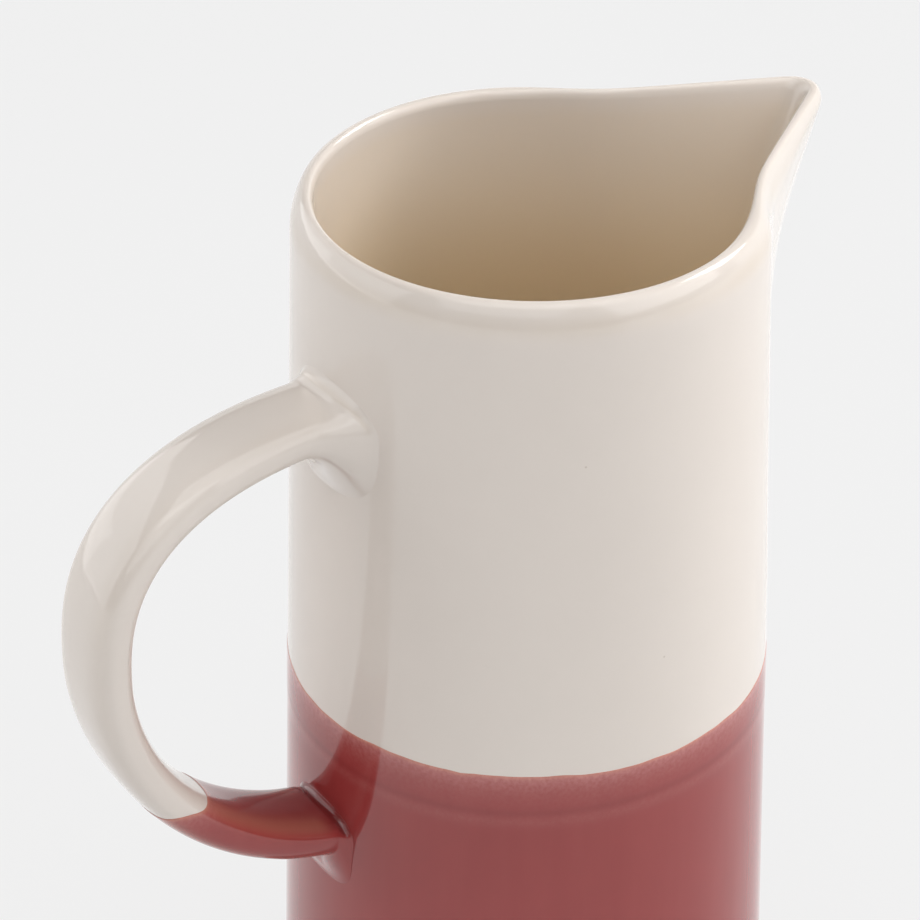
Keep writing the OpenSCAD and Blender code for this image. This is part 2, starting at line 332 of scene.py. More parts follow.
def inner_radius(turn, z):
    """Finished inner face of the wall."""
    away = folded(turn)
    bore = rim_radius - wall
    plan = rim_plan(away, bore, flank_distance - flank_wall, groove_radius, groove_centre, blend_inside)
    pulled = fade(z, keel_power) * (plan - bore)
    return wall_radius(z) - wall + pulled - fade(z, pinch_fade) * pinch(away, pinch_inside)


print("at the rim the wall is %.1f mm thick across from the spout"
      % (outer_radius(np.pi, height) - inner_radius(np.pi, height)))

# %% [markdown]
# ## One skin over the lip
# The outside, the lip and the inside are one smooth skin. The lip was wiped with a wet sponge from
# outside, so its crest is near the inner edge: outside it turns over a round crown and then down a long
# shoulder, and inside it turns over short. At the tip of the spout, where a drop must break off, the
# outside is tighter too. A bevel would give one radius all over, so the outer half of the lip is found
# by adding up small turns, each with its own radius.

# %% Curve of the lip
crown_radius = 2.2
shoulder_radius = 16.0
shoulder_tilt = math.radians(40)
shoulder_blend = math.radians(25)
lip_steps = 32

lip_tilts = np.linspace(0, np.pi / 2, lip_steps + 1)
tilt_steps = np.diff(lip_tilts)
tilt_middles = lip_tilts[:-1] + tilt_steps / 2
on_shoulder = smooth_step((shoulder_tilt - tilt_middles) / shoulder_blend)
lip_bends = crown_radius + (shoulder_radius - crown_radius) * on_shoulder
lip_rise = np.concatenate([[0], np.cumsum(lip_bends * np.cos(tilt_middles) * tilt_steps)])
lip_in = np.concatenate([[0], np.cumsum(lip_bends * np.sin(tilt_middles) * tilt_steps)])
lip_roll_outside = lip_rise[-1]
print("the lip's shoulder is %.1f mm high" % lip_roll_outside)

# %% [markdown]
# A mesh bends well only where it has enough points. The columns of the jug crowd towards the spout,
# where the outline bends most: even steps are raised to a power on one half and mirrored on the other.

# %% Columns round the jug
half_columns = 160
crowding = 1.5

half_turns = np.pi * (np.arange(half_columns + 1) / half_columns) ** crowding
turns = np.concatenate([half_turns, 2 * np.pi - half_turns[-2:0:-1]])


def ring(radius, z):
    """Points round the axis at a radius and a height, which may each change round the ring."""
    radius = np.broadcast_to(radius, turns.shape)
    z = np.broadcast_to(z, turns.shape)
    return np.stack([radius * np.cos(turns), radius * np.sin(turns), z], -1)


print("the skin has", len(turns), "columns, %.2f degrees apart at the tip" % math.degrees(half_turns[1]))

# %% [markdown]
# The rows go up the outside, over the lip, down the inside, round the corner and across the floor, and
# they are closest at the lip. The same rows serve twice: as the finished face of the glaze, and with an
# inset as the face of the clay below it.

# %% Rows up the outside and over the lip
lip_crest = 0.72
lip_roll_inside = 2.3
lip_roll_tip = 3.6
tip_share_width = math.radians(24)
# The wall below the spout is plain, so an eighth of the rows will do there
plain_wall_ratio = 8

keel_z = height - spout_depth
at_tip = 1 - smooth_step(folded(turns) / tip_share_width)
roll_out = lip_roll_outside + (lip_roll_tip - lip_roll_outside) * at_tip


def outside_rings(inset, low_z, wall_rows):
    """Rings up the outside, from a height to the start of the lip."""
    plain_rows = max(2, wall_rows // plain_wall_ratio)
    levels = list(np.linspace(low_z, keel_z, plain_rows, endpoint=False))
    levels += [keel_z + (height - roll_out - keel_z) * share for share in np.linspace(0, 1, wall_rows)]
    return [ring(outer_radius(turns, z) - inset, z) for z in levels]


def lip_rings(inset, lip_rows):
    """Rings over the lip, up its long roll outside and down its short one inside."""
    picks = np.linspace(0, lip_steps, lip_rows).astype(int)[1:]
    turn_over = [(roll_out, lip_rise[k] / lip_rise[-1], lip_crest * lip_in[k] / lip_in[-1])
                 for k in picks]
    turn_over += [(lip_roll_inside, math.cos(a), lip_crest + (1 - lip_crest) * math.sin(a))
                  for a in np.linspace(0, np.pi / 2, lip_rows // 2)[1:-1]]
    rows = []
    for roll, up_share, across in turn_over:
        z = height - roll + (roll - inset) * up_share
        face_out = outer_radius(turns, z) - inset
        face_in = inner_radius(turns, z) + inset
        rows.append(ring(face_out + (face_in - face_out) * across, z))
    return rows


print("the outside rolls over in %.1f mm, and in %.1f mm at the tip" % (roll_out.max(), roll_out.min()))

# %% [markdown]
# Inside, the wall runs down to a rounded corner, which is easier to wash out than a square one, and the
# floor closes in a few rings. Clay and glaze turn the corner round the same middle, so an inset only
# makes its radius larger.

# %% Rows down the inside
floor_corner = 10.0
floor_rows = 6
# Radius of the last ring before a middle point
pole_radius = 2.0


def inside_rings(inset, wall_rows, corner_rows):
    """Rings down the inside, round the corner and across the floor to its middle."""
    plain_rows = max(2, wall_rows // plain_wall_ratio)
    corner_z = floor_z + floor_corner
    levels = np.concatenate([np.linspace(height - lip_roll_inside, keel_z, wall_rows),
                             np.linspace(keel_z, corner_z, plain_rows, endpoint=False)[1:]])
    rows = [ring(inner_radius(turns, z) + inset, z) for z in levels]
    corner_radius = floor_corner + inset
    corner_middle = inner_radius(turns, corner_z) - floor_corner
    for angle in np.linspace(0, np.pi / 2, corner_rows):
        rows.append(ring(corner_middle + corner_radius * math.cos(angle),
                         corner_z - corner_radius * math.sin(angle)))
    flat_radii = np.linspace(float(corner_middle[0]), pole_radius, floor_rows)[1:]
    return rows + [ring(radius, floor_z - inset) for radius in flat_radii]


def skin_rows(inset, low_z, wall_rows, lip_rows, corner_rows):
    """The whole skin, from a height outside, over the lip and down to the middle of the floor."""
    return np.array(outside_rings(inset, low_z, wall_rows) + lip_rings(inset, lip_rows)
                    + inside_rings(inset, wall_rows, corner_rows))


print("the floor inside is %.1f mm up, with a corner of %.0f mm" % (floor_z, floor_corner))

# %% [markdown]
# ## The clay body
# The clay shows only at the foot, but a jug without its clay would be an eggshell, so the whole body is
# modelled. The foot is cut in with a bevel, stands on a flat ring and is hollow in the middle, and its
# edges are softened as a fettling sponge leaves them.

# %% Build the clay body
foot_inset = 3.5
foot_ring = 7.0
foot_hollow = 2.0
foot_soft = 0.8
# The skin of the clay starts this far below the lower edge of the cream
below_lap = 2.0
# Rows up the wall, over the lip and round the corner of the floor, on a face that stays hidden
hidden_rows = (24, 14, 6)


def rounded_outline(corners, softness, steps=4):
    """An outline of radius and height pairs, with each inner corner replaced by a small curve."""
    corners = [np.array(c, float) for c in corners]
    points = [corners[0]]
    for before, corner, after in zip(corners, corners[1:], corners[2:]):
        arrive = corner + (before - corner) / np.linalg.norm(before - corner) * softness
        leave = corner + (after - corner) / np.linalg.norm(after - corner) * softness
        for t in np.linspace(0, 1, steps):
            points.append((1 - t) ** 2 * arrive + 2 * t * (1 - t) * corner + t ** 2 * leave)
    return points + [corners[-1]]


foot_radius = wall_radius(0) - foot_inset
ring_radius = foot_radius - foot_ring
skin_low = lap_z - below_lap
foot_outline = rounded_outline(
    [(pole_radius, foot_hollow), (ring_radius - foot_hollow, foot_hollow), (ring_radius, 0),
     (foot_radius, 0), (wall_radius(coat_foot_z) - glaze, coat_foot_z),
     (wall_radius(skin_low) - glaze, skin_low)], foot_soft)
under = np.array([ring(radius, z) for radius, z in foot_outline[:-1]])
above = skin_rows(glaze, skin_low, *hidden_rows)
clay_body = ring_solid("fired_clay_body", [np.concatenate([under, above])], [False])

# %% [markdown]
# ## The cream coat
# The cream glaze covers the inside, the lip and the outside down to a little below the edge of the red.
# Poured and dipped glaze flows together at the lip, so one closed shell stands for both coats. Two
# attributes tell the finish how its colour changes. Glaze that runs off a rounded edge fires thinner and
# browner, a little on the crest of the lip; the browner band on the roll outside it is partly thinner
# glaze and partly painted shade. And the liner that was poured inside is warmer, and it is painted
# warmer and darker as shade the deeper it lies.

# %% Build the cream coat
# The same three counts of rows, on a face that shows
shown_rows = (44, 30, 12)
liner_start = 1.0
liner_blend = 6.0
# The liner is painted warmer and darker as shade down to this depth inside
liner_shade_depth = 55.0
# Warmth of the liner just below the lip, as a share of its warmth and painted shade deep inside
liner_least = 0.25
crest_thinness = 0.35
crest_reach = 4.5
# The browner band on the roll outside the crest is partly thinner glaze and partly painted shade
roll_shade_below = 4.6
roll_shade_width = 2.2


def on_outside(rows):
    """True where a point is nearer to the outer face of the wall than to the inner one."""
    z = rows[:, :, 2]
    middle = (outer_radius(turns, z) + inner_radius(turns, z)) / 2
    return np.hypot(rows[:, :, 0], rows[:, :, 1]) > middle


def lip_thinness_and_shade(rows, inset):
    """Thin glaze on the crest of the lip, and thin glaze with painted shade on its outer roll, 0 below."""
    below = height - inset - rows[:, :, 2]
    crest = crest_thinness * (1 - smooth_step(below / crest_reach))
    return np.maximum(crest, np.where(on_outside(rows), bell(below - roll_shade_below, roll_shade_width), 0))


def liner_and_shade_share(rows):
    """0 outside, rising from the lip to 1 deep inside, where the liner is warmest and painted darkest."""
    below = height - rows[:, :, 2]
    deep = liner_least + (1 - liner_least) * smooth_step(below / liner_shade_depth)
    return np.where(on_outside(rows), 0, deep * smooth_step((below - liner_start) / liner_blend))


finished = skin_rows(0, lap_z, *shown_rows)
clay_side = skin_rows(glaze, lap_z, *hidden_rows)[::-1]
cream_coat = ring_solid(
    "cream_coat", [finished, clay_side], [False, True],
    {"thin_glaze_and_shade": [lip_thinness_and_shade(finished, 0), lip_thinness_and_shade(clay_side, glaze)],
     "liner_and_shade": [liner_and_shade_share(finished), liner_and_shade_share(clay_side)]})

# %% [markdown]
# ## The red coat
# The jug was held by the rim and dipped, so the red ends in an edge that is almost level, with small
# ripples where the glaze clung and one notch. Over the cream it stands proud as a lap about ten
# millimetres high, and a faint furrow shows where the cream ends below it. Noise could ripple the edge,
# but a few waves of known size are the same at every run and meet where the ring closes.

# %% Edge and furrow of the dip
# Waves round the jug: their number, size in millimetres and shift
edge_waves = [(5, 0.15, 0.9), (9, 0.105, 2.6), (17, 0.09, 0.4), (31, 0.0525, 5.1), (47, 0.0375, 1.2)]
furrow_waves = [(1, 0.6, 2.2), (3, 0.2, 0.0)]
# The edge wavers about a level this far below the top of the frame's coat
edge_below = 0.35
notch_turn = math.radians(214.5)
notch_width = math.radians(2.2)
notch_depth = 0.5

edge_z = dip_z - edge_below + waves(turns, edge_waves) - notch_depth * bell(turns - notch_turn, notch_width)
furrow_z = lap_z + waves(turns, furrow_waves)
print("the edge runs between %.2f and %.2f mm" % (edge_z.min(), edge_z.max()))

# %% [markdown]
# The coat is a shell again. Its outer face swells to the lap, dips in the furrow and ends in a rounded
# bead, and its inner face lies on the cream above and on the clay below. Rows crowd at the two edges,
# where the bead is rounded.

# %% Rows of the red coat
lap_proud = 0.10
bead = 0.45
bead_rows = 6
furrow_depth = 0.02
furrow_width = 0.9
swell = 6.0
# The rows are level from just above the foot to this height, and then lean towards the edge
plain_top = 100.0
plain_start = 2.0
plain_rows = 24
leaning_rows = 44
# Last rows below the edge, as shares of the leaning part
edge_steps = (0.016, 0.012, 0.008, 0.004, 0.002)
# How deep the inner face bites into the cream, and how far its rows stay from the edges
lap_bite = 0.03
lap_step = 0.1
foot_step = 0.05


def red_face(z):
    """Outer radius of the red coat at a height, which may change round the ring."""
    proud = lap_proud * smooth_step((z - furrow_z + swell) / swell)
    groove = furrow_depth * bell(z - furrow_z, furrow_width)
    top = np.clip((z - edge_z + bead) / bead, 0, 1)
    foot = np.clip(1 - (z - coat_foot_z) / bead, 0, 1)
    bottom = glaze * (1 - np.sqrt(1 - foot ** 2))
    return wall_radius(z) + (proud - groove) * np.sqrt(1 - top ** 2) - bottom


level_part = np.concatenate([coat_foot_z + bead * (1 - np.cos(np.linspace(0, np.pi / 2, bead_rows))),
                             np.linspace(coat_foot_z + plain_start, plain_top, plain_rows)])
leaning_part = np.concatenate([np.linspace(0, 1, leaning_rows, endpoint=False)[1:],
                               1 - np.array(edge_steps), [1]])
levels = [np.full(turns.shape, z) for z in level_part]
levels += [plain_top + (edge_z - plain_top) * share for share in leaning_part]
red_outside = np.array([ring(red_face(z), z) for z in levels])
under_lap = [(edge_z - lap_step, lap_bite), (lap_z + lap_step, lap_bite),
             (lap_z - lap_step, glaze), (coat_foot_z + foot_step, glaze)]
red_inside = np.array([ring(wall_radius(z) - depth, z) for z, depth in under_lap])
print("the red coat has", len(red_outside), "rows outside and", len(red_inside), "inside")

# %% [markdown]
# Three attributes go with the red. The lap is where it is thin over the cream and looks paler, and a
# faint paler band below the furrow is a painted highlight on a low ridge. The furrow is painted darker
# as shade, and the last millimetre at the edge is so thin that the cream shows through.

# %% Build the red coat
lap_fade = 2.9
# A faint painted highlight on a low ridge below the furrow: its share, place and width
ridge_highlight_share = 0.1
ridge_highlight_below = 2.2
ridge_highlight_width = 1.4
# Painted shade in the furrow: how much darker the red is there
furrow_shade_darkness = 0.22
thin_edge_width = 1.0


def lap_share(rows):
    """1 at the edge, where the red is thin over the cream, fading down, plus a painted ridge highlight."""
    ridge_highlight = ridge_highlight_share * bell(rows[:, :, 2] - furrow_z + ridge_highlight_below, ridge_highlight_width)
    return np.exp(-np.maximum(edge_z - rows[:, :, 2], 0) / lap_fade) + ridge_highlight


def furrow_shade_share(rows):
    """Painted shade in the shallow furrow below the lap."""
    return furrow_shade_darkness * bell(rows[:, :, 2] - furrow_z, furrow_width)


def edge_share(rows):
    """1 at the thin edge of the dip, 0 a millimetre below it."""
    return 1 - smooth_step((edge_z - rows[:, :, 2]) / thin_edge_width)


red_marks = {"lap": lap_share, "painted_shade": furrow_shade_share, "thin_edge": edge_share}
red_coat = ring_solid("red_coat", [red_outside, red_inside], [True, True],
                      {key: [mark(red_outside), mark(red_inside)] for key, mark in red_marks.items()})

# %% [markdown]
# ## The handle's surface
# The strap was pulled, bent and pressed on while soft. Its centreline is half of a squared ellipse for
# each arm, and its section is a squared oval. A curve object with a bevel could sweep it, but the joints
# at its ends have to grow out of the same rings, so it is worked out point by point, in its own three
# directions: out from the axis, to the side, and up.

# %% Centreline and section of the strap
arm_top_below = 36.5
arm_low_z = 89.5
belly_share = 0.58
finger_gap = 49.0
strap_half_width = 10.2
strap_half_depth = 4.95
strap_power = 2.7
upper_bend = 2.55
lower_bend = 1.86
section_columns = 96

arm_top_z = height - arm_top_below
belly_z = arm_low_z + (arm_top_z - arm_low_z) * belly_share
root_s = wall_radius(belly_z) - wall
belly_s = wall_radius(belly_z) + finger_gap + strap_half_depth
section_turns = np.linspace(0, 2 * np.pi, section_columns, endpoint=False)


def squared(x, power=strap_power):
    """Squares off a sine or cosine, so that an oval becomes a rounded oblong."""
    return np.sign(x) * np.abs(x) ** (2 / power)


def centreline(u):
    """Distance out and height along the strap: u is 0 at the upper root and pi at the lower one."""
    upper = u <= np.pi / 2
    angle = np.where(upper, u, np.pi - u)
    bend = np.where(upper, upper_bend, lower_bend)
    end_z = np.where(upper, arm_top_z, arm_low_z)
    out = root_s + (belly_s - root_s) * np.abs(np.sin(angle)) ** (2 / bend)
    z = belly_z + (end_z - belly_z) * np.abs(np.cos(angle)) ** (2 / bend)
    return out, z


def strap_ring(u, probe=0.002):
    """Section of the plain strap, square to the centreline as a short probe along it shows."""
    s0, z0 = centreline(np.array(u - probe))
    s1, z1 = centreline(np.array(u + probe))
    s, z = centreline(np.array(u))
    length = math.hypot(s1 - s0, z1 - z0)
    out_s, out_z = -(z1 - z0) / length, (s1 - s0) / length
    n = strap_half_depth * squared(np.sin(section_turns))
    return np.stack([s + out_s * n, strap_half_width * squared(np.cos(section_turns)), z + out_z * n], -1)


print("the strap reaches %.1f mm out at a height of %.1f mm" % (belly_s + strap_half_depth, belly_z))

# %% [markdown]
# ## The slip joints
# Slip was smoothed over the join at both ends of the strap. A joint is described by how far the slip
# spreads on the wall above, below and on the near and far side of the strap, how far it runs out along
# the strap there, and how hollow it is. It was smoothed by thumb on one side more than on the other, and
# no two sides are alike. Above the strap the tool left a crease.

# %% Outline of the slip joints
# Each side of a joint: spread on the wall, run along the strap, and hollowness, where 1 is a flat bevel
SPREAD, RUN, HOLLOW = 0, 1, 2
upper_joint = {"above": (3.4, 3.0, 2.2), "below": (12.0, 11.0, 2.0),
               "near": (6.2, 10.0, 1.8), "far": (2.0, 5.0, 1.6)}
lower_joint = {"above": (1.6, 2.6, 2.0), "below": (7.5, 6.0, 2.0),
               "near": (0.5, 3.0, 1.5), "far": (0.8, 4.0, 1.5)}
# Squareness of each joint's outline above and below
upper_joint["corners"] = (2.0, 3.2)
lower_joint["corners"] = (2.4, 4.5)
upper_joint["crease"] = {"place": 1.0, "depth": 0.25, "width": 0.4}
lower_joint["crease"] = {"place": 1.0, "depth": 0.75, "width": 1.25}


def around(joint, item, upward):
    """One number of a joint for each column, mixed from its values on the four sides."""
    lift = np.sin(section_turns) * upward
    vertical = np.where(lift > 0, joint["above"][item], joint["below"][item])
    beside = np.where(np.cos(section_turns) > 0, joint["near"][item], joint["far"][item])
    return vertical * lift ** 2 + beside * (1 - lift ** 2)


def joint_outline(joint, end_z, upward):
    """The joint's outline on the wall, to the side and in height."""
    side = np.cos(section_turns)
    lift = np.sin(section_turns) * upward
    half_width = strap_half_width + np.where(side > 0, joint["near"][SPREAD], joint["far"][SPREAD])
    half_lift = strap_half_depth + np.where(lift > 0, joint["above"][SPREAD], joint["below"][SPREAD])
    corners = np.where(lift > 0, *joint["corners"])
    return half_width * squared(side, corners), end_z + half_lift * squared(lift, corners)


for name, joint, end_z, upward in (("upper", upper_joint, arm_top_z, 1),
                                   ("lower", lower_joint, arm_low_z, -1)):
    across, heights = joint_outline(joint, end_z, upward)
    print("the %s joint is %.1f mm wide and %.1f mm high" % (name, np.ptp(across), np.ptp(heights)))

# %% [markdown]
# Each ring of a joint is the strap's own section, drawn out towards the joint's outline on the wall: the
# nearer to the wall, the larger the outline's share. A power of that share makes the hollow. The last
# part curls out into a thin toe, as glaze does when it gathers in a corner.

# %% Shares of a joint's outline
joint_length = 14.0
joint_row_count = 44
joint_crowding = 1.4
toe_height = 0.7
toe_spread = 0.6
toe_row_count = 8


def ring_shares(joint, end_z, upward, foot_w, foot_z):
    """Distance from the wall and share of the outline, for each ring from the toe outwards."""
    run = around(joint, RUN, upward)
    power = around(joint, HOLLOW, upward)
    spread = np.hypot(foot_w - strap_half_width * squared(np.cos(section_turns)),
                      foot_z - end_z - strap_half_depth * squared(np.sin(section_turns)) * upward)
    toe_share = 1 + toe_spread / np.maximum(spread, toe_spread)
    near = np.maximum(1 - toe_height / run, 0) ** power
    toe = [(toe_height * (1 - t) ** 2, (1 - t) ** 2 * near + 2 * t * (1 - t) + t ** 2 * toe_share)
           for t in np.linspace(1, 0, toe_row_count + 1)[:-1]]
    outward = np.linspace(0, 1, joint_row_count) ** joint_crowding
    return toe + [(x, np.maximum(1 - x / run, 0) ** power)
                  for x in toe_height + (joint_length - toe_height) * outward]


print("a joint is %.0f mm long, and its toe starts %.1f mm off the wall" % (joint_length, toe_height))

# %% [markdown]
# The wall is curved and the strap's section is flat, so the points of a ring also move out to the wall's
# own curve, fully at the toe and not at all where the plain strap begins. The crease is pressed in along
# the upper side, and its mark is kept so that the finishes can paint shade into it.

# %% Rings of the slip joints
toe_sink = 0.04
# The crease starts where the section's upward share is this, and is full this much further up
crease_start = 0.1
crease_blend = 0.4


def arm_place(clear, bend, end_z):
    """Where on an arm the centreline is a given distance clear of the wall."""
    share = (wall_radius(end_z) + clear - root_s) / (belly_s - root_s)
    return np.arcsin(np.clip(share, 0, 1) ** (bend / 2))


def joint_rows(joint, bend, end_z, upward):
    """Rings of one joint, from its toe on the wall out to the plain strap, and their crease marks."""
    foot_w, foot_z = joint_outline(joint, end_z, upward)
    crease = joint["crease"]
    creased = smooth_step((np.sin(section_turns) * upward - crease_start) / crease_blend)
    rings = []
    marks = []
    for x, share in ring_shares(joint, end_z, upward, foot_w, foot_z):
        u = arm_place(x, bend, end_z)
        section = strap_ring(u if upward > 0 else np.pi - u)
        mark = creased * bell(x - crease["place"], crease["width"])
        w = section[:, 1] + share * (foot_w - section[:, 1])
        z = section[:, 2] + share * (foot_z - section[:, 2]) - crease["depth"] * mark
        on_wall = np.sqrt(wall_radius(z) ** 2 - w ** 2) + x - toe_sink
        s = section[:, 0] + smooth_step(1 - x / joint_length) * (on_wall - section[:, 0])
        rings.append(np.stack([s, w, z], -1))
        marks.append(mark)
    return rings, marks


upper_rows, upper_marks = joint_rows(upper_joint, upper_bend, arm_top_z, 1)
lower_rows, lower_marks = joint_rows(lower_joint, lower_bend, arm_low_z, -1)
print("each joint has", len(upper_rows), "rings")

# %% [markdown]
# Between the joints the strap's rings lie at even distances, because even steps of the angle would bunch
# up at the bends. The centreline has no simple formula for its length, so it is measured in many small
# steps.

# %% Even places along the strap
strap_row_count = 150
measure_steps = 4000


def even_places(first, last, count):
    """Places along the centreline at even distances."""
    fine = np.linspace(first, last, measure_steps)
    out, z = centreline(fine)
    run = np.concatenate([[0], np.cumsum(np.hypot(np.diff(out), np.diff(z)))])
    return np.interp(np.linspace(0, run[-1], count), run, fine)


def strap_places(clear, count):
    """Even places along the strap, starting and ending a given distance clear of the wall."""
    first = float(arm_place(clear, upper_bend, arm_top_z))
    last = math.pi - float(arm_place(clear, lower_bend, arm_low_z))
    return even_places(first, last, count)


middle_rows = [strap_ring(u) for u in strap_places(joint_length, strap_row_count)[1:-1]]
middle_marks = [np.zeros(section_turns.shape)] * len(middle_rows)
print("the strap has", len(middle_rows), "rings between its joints")

# %% [markdown]
# All coats and clay of the handle share one grid of points, from the toe of the upper joint to the toe
# of the lower one. The grid's normals tell which way is out of the clay, and one function turns the
# handle to where it stands on the jug.

# %% Grid of the whole handle
handle_turn = math.radians(173.5)
handle_out = np.array([math.cos(handle_turn), math.sin(handle_turn)])
handle_side = np.array([-math.sin(handle_turn), math.cos(handle_turn)])


def grid_normals(grid):
    """Directions square to a grid of rings, pointing out of the strap."""
    along = np.gradient(grid, axis=0)
    round_it = np.roll(grid, -1, axis=1) - np.roll(grid, 1, axis=1)
    normal = np.cross(along, round_it)
    normal /= np.linalg.norm(normal, axis=2, keepdims=True)
    outwards = grid - grid.mean(axis=1, keepdims=True)
    flip = np.sign((normal * outwards).sum(axis=2).sum(axis=1))
    return normal * flip[:, None, None]


def placed(grid):
    """Turns points from the handle's own directions to the jug's."""
    flat = grid[..., :1] * handle_out + grid[..., 1:2] * handle_side
    return np.concatenate([flat, grid[..., 2:]], -1)


handle_grid = np.array(upper_rows + middle_rows + lower_rows[::-1])
handle_creases = np.array(upper_marks + middle_marks + lower_marks[::-1])[..., None]
handle_normals = grid_normals(handle_grid)
last_ring = len(handle_grid) - 1
print("the handle's grid is", handle_grid.shape[0], "rings of", handle_grid.shape[1])

# %% [markdown]
# ## Strap and slip
# Below the glaze the strap butts on the wall, and a ring of slip fills the corner round each end. They
# stay hidden in the finished jug, but each is a piece of its own, so each gets its own mesh: the strap
# is the plain tube half a millimetre inside the glaze, and a ring of slip lies between it and the coat.

# %% Build the strap and the two rings of slip
butt_clear = 0.3
strap_clay_rows = 90
# Opening of a ring of slip, as a share of its outside
slip_bore = 0.5
# Rings of the thin toe that hold glaze only
toe_rings = 4
joint_rings = len(upper_rows)


def clay_strap():
    """The plain strap below its glaze, from wall to wall."""
    grid = np.array([strap_ring(u) for u in strap_places(butt_clear, strap_clay_rows)])
    return grid - glaze * grid_normals(grid)


def slip_ring(name, outer):
    """A ring of slip between the strap and the coat over the joint."""
    middle = outer.mean(axis=1, keepdims=True)
    inner = middle + slip_bore * (outer - middle)
    inner[..., 0] = outer[..., 0]
    return ring_solid(name, [placed(outer), placed(inner)[::-1]], [True, True])


handle_clay = handle_grid - glaze * handle_normals
strap = ring_solid("strap", [placed(clay_strap())], [False])
upper_slip = slip_ring("upper_slip", handle_clay[toe_rings:joint_rings])
lower_slip = slip_ring("lower_slip", handle_clay[-joint_rings:-toe_rings])

# %% [markdown]
# ## The handle's two coats
# The cream runs over the whole strap and the red covers its lower end, cut off level by the same dip.
# Colour alone could show that edge, but a coat of glaze has a thickness. So the columns of the grid are
# cut where they pass the level of the dip, and the edge of the red is a true edge.

# %% Cut the grid at the level of the dip
# The cream runs on under the red for this far
lowest_cream = 4.0
handle_edge_below = 0.9
# Waves round the strap: their number, size in millimetres and shift. The first one tilts the edge
handle_edge_waves = [(1, 1.6, math.radians(60)), (5, 0.2, 0.7)]


def level_rows(level):
    """For each column, the ring number at which the lower arm passes a level."""
    start = len(upper_rows) + strap_row_count // 2
    cuts = []
    for k in range(handle_grid.shape[1]):
        z = handle_grid[start:, k, 2]
        j = int(np.argmax(z < level[k]))
        share = (z[j - 1] - level[k]) / (z[j - 1] - z[j])
        cuts.append(start + j - 1 + share)
    return np.array(cuts)


def picked(values, rows):
    """Values of the grid at ring numbers that may lie between two rings."""
    low = np.clip(np.floor(rows).astype(int), 0, len(values) - 2)
    share = (rows - low)[..., None]
    columns = np.arange(values.shape[1])
    return values[low, columns] * (1 - share) + values[low + 1, columns] * share


handle_edge = handle_dip_z - handle_edge_below + waves(section_turns, handle_edge_waves)
red_start = level_rows(handle_edge)
cream_end = level_rows(handle_edge - lowest_cream)
print("the red starts at rings %.0f to %.0f" % (red_start.min(), red_start.max()))

# %% [markdown]
# The finished face of the cream is the grid itself, and the cream reaches down to the clay. Its glaze
# thins along the squared sides of the strap, and the creases above the joints are painted darker as shade.

# %% Build the cream coat of the handle
cream_row_count = 240
cream_thinness = 0.4
# Thin edges start this many rings from the ends of the grid, and are full some rings further on
joint_clear_rings = 20
thin_blend_rings = 14
edge_power = 3
# The red doesn't touch the cream below it, so that the two faces never flicker through each other
red_lift = 0.03


def strap_thinness(rows):
    """1 along the squared edges of the strap, where glaze runs thin."""
    edge = np.abs(np.sin(2 * section_turns)) ** edge_power
    from_top = smooth_step((rows - joint_clear_rings) / thin_blend_rings)
    from_bottom = smooth_step((last_ring + 1 - joint_clear_rings - rows) / thin_blend_rings)
    return edge * from_top * from_bottom


def coat(name, rows, proud, attributes):
    """A closed coat on the handle, from its finished face down to the face below."""
    face = picked(handle_grid, rows) + proud[..., None] * picked(handle_normals, rows)
    depth = np.where(proud > 0, -red_lift, glaze)
    below = picked(handle_grid, rows) - depth[..., None] * picked(handle_normals, rows)
    both = {key: [value, value[::-1]] for key, value in attributes.items()}
    return ring_solid(name, [placed(face), placed(below)[::-1]], [True, True], both)


cream_rows = np.linspace(0, 1, cream_row_count)[:, None] * cream_end[None]
# The creases above the joints are painted darker as shade through the thin-glaze share
cream_crease_shade = picked(handle_creases, cream_rows)[..., 0]
handle_cream = coat("handle_cream_coat", cream_rows, np.zeros(cream_rows.shape),
                    {"thin_glaze_and_shade": np.maximum(cream_thinness * strap_thinness(cream_rows), cream_crease_shade),
                     "liner_and_shade": np.zeros(cream_rows.shape)})

# %% [markdown]
# The red lies on the grid as a thin skin with a rounded edge, and thins out again at the toe on the
# wall. It is painted darker as shade in the crease and on the upward face of the lower arm, and the same
# attribute marks both.

# %% Build the red coat of the handle
red_least = 0.04
# Growth of the skin for each ring away from the toe
toe_growth = 0.05
edge_crowd_share = 0.02
edge_crowd_rows = 8
red_row_count = 130
# How much darker the painted shade on the upward face of the lower arm makes the red
upward_shade_share = 0.5
# The red is painted darker as shade where the face points up by more than this, fully this much further up
upward_shade_slope = 0.5
upward_shade_blend = 0.4
handle_lap = 0.6
handle_thin_width = 1.6
red_thinness = 0.55


def upward_face_shade(rows):
    """How much painted shade darkens the upward face of the lower arm."""
    upward = picked(handle_normals, rows)[..., 2]
    return upward_shade_share * smooth_step((upward - upward_shade_slope) / upward_shade_blend)


red_steps = np.concatenate([np.linspace(0, edge_crowd_share, edge_crowd_rows, endpoint=False),
                            np.linspace(edge_crowd_share, 1, red_row_count)])[:, None]
red_rows = red_start[None] + red_steps * (last_ring - red_start[None])
from_edge = handle_edge[None] - picked(handle_grid, red_rows)[..., 2]
red_proud = red_least + lap_proud * np.sqrt(1 - np.clip(1 - from_edge / bead, 0, 1) ** 2)
red_proud = np.minimum(red_proud, red_least + toe_sink + (last_ring - red_rows) * toe_growth)
red_crease_shade = picked(handle_creases, red_rows)[..., 0]
# The painted shade of the upward face and of the crease goes into one attribute
handle_red = coat("handle_red_coat", red_rows, red_proud,
                  {"lap": handle_lap * np.exp(-np.maximum(from_edge, 0) / lap_fade),
                   "painted_shade": np.maximum(upward_face_shade(red_rows), red_crease_shade),
                   "thin_edge": np.maximum(1 - smooth_step(from_edge / handle_thin_width),
                                           red_thinness * strap_thinness(red_rows))})

